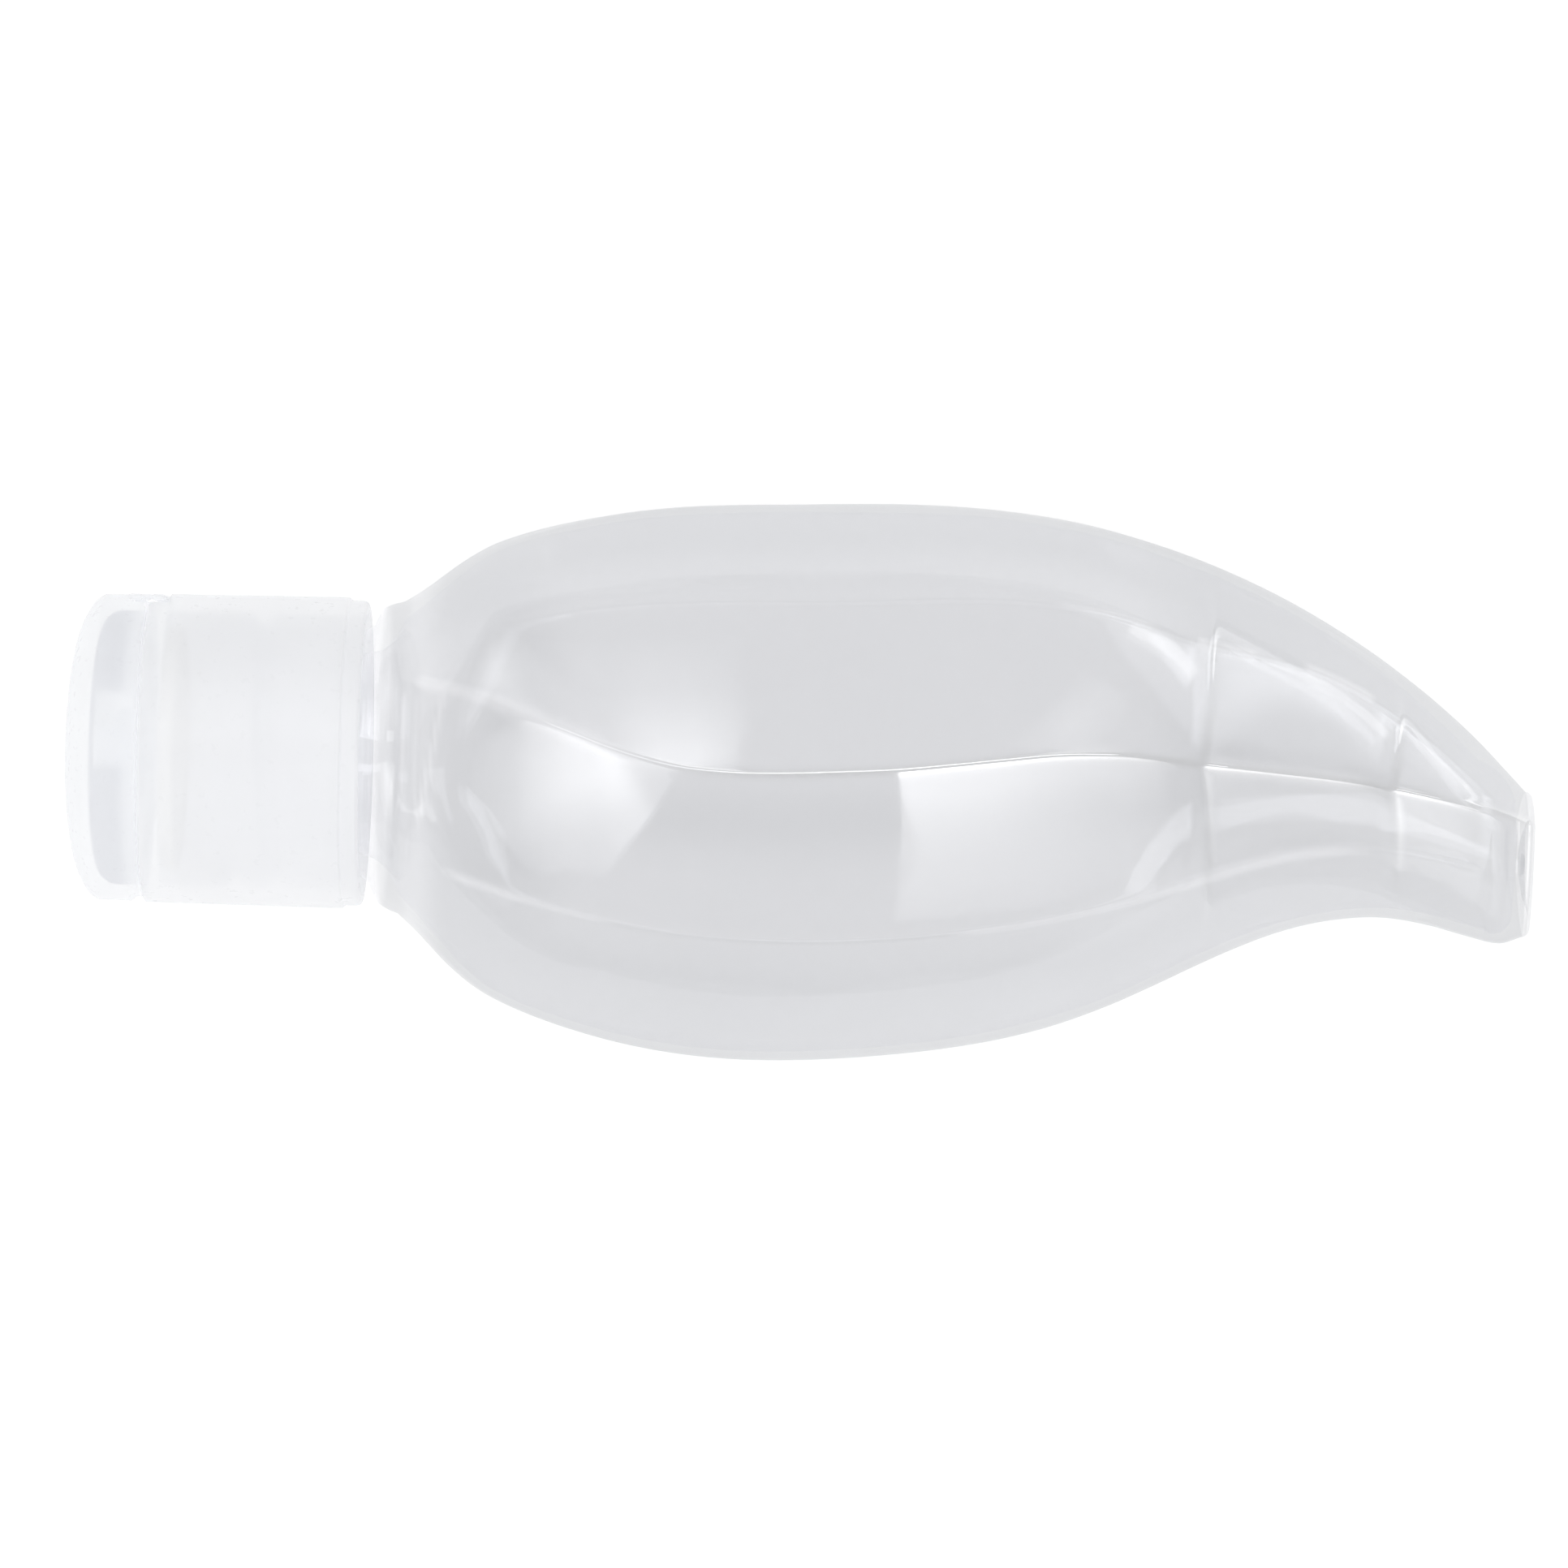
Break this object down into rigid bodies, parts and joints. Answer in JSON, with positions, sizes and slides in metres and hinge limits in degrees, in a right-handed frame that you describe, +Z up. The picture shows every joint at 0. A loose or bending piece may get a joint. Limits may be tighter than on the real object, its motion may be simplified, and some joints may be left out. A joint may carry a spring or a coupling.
{
  "type": "travel squeeze bottle",
  "caption": "Clear plastic squeeze bottle with a ridged, fruit-like body that tapers to a bent stem, and a translucent screw cap with a domed flip lid; holds and doses liquid toiletries.",
  "frame": {"origin": "centre of the object's bounding box on the surface that the bottle lies on", "axes": "+X along the bottle from the flip lid to the cut-off end of the stem, +Y towards the lid's hinge side, which is also the side that the stem bends away from, +Z up from the flattened lower face that the bottle lies on"},
  "size_m": [0.109, 0.0412, 0.037],
  "materials": {
    "clear_pet": "gloss",
    "natural_pp": "satin",
    "foam_liner": "matte"
  },
  "bodies": {
    "bottle": {"bottle_body": "clear_pet"},
    "seal": {"seal_gasket": "foam_liner"},
    "cap": {"cap_base": "natural_pp", "hinge_web": "natural_pp", "hinge_strap_front": "natural_pp", "hinge_strap_back": "natural_pp"},
    "lid": {"flip_lid": "natural_pp"}
  },
  "joints": [
    {"name": "cap_lift", "type": "slide", "parent": "bottle", "child": "seal", "axis": [-1, 0, 0], "range_m": [0, 0.0318]},
    {"name": "cap_turn", "type": "hinge", "parent": "seal", "child": "cap", "pos_m": [-0.04005, 0.00125, 0.0155], "axis": [-1, 0, 0], "range_deg": [0, 3600]},
    {"name": "lid_hinge", "type": "hinge", "parent": "cap", "child": "lid", "pos_m": [-0.04865, 0.01245, 0.0155], "axis": [0, 0, -1], "range_deg": [0, 150], "deforming": ["hinge_web", "hinge_strap_front", "hinge_strap_back"]}
  ],
  "couplings": [
    {"joint": "cap_lift", "follows": "cap_turn", "m_per_rad": 0.00050532}
  ]
}
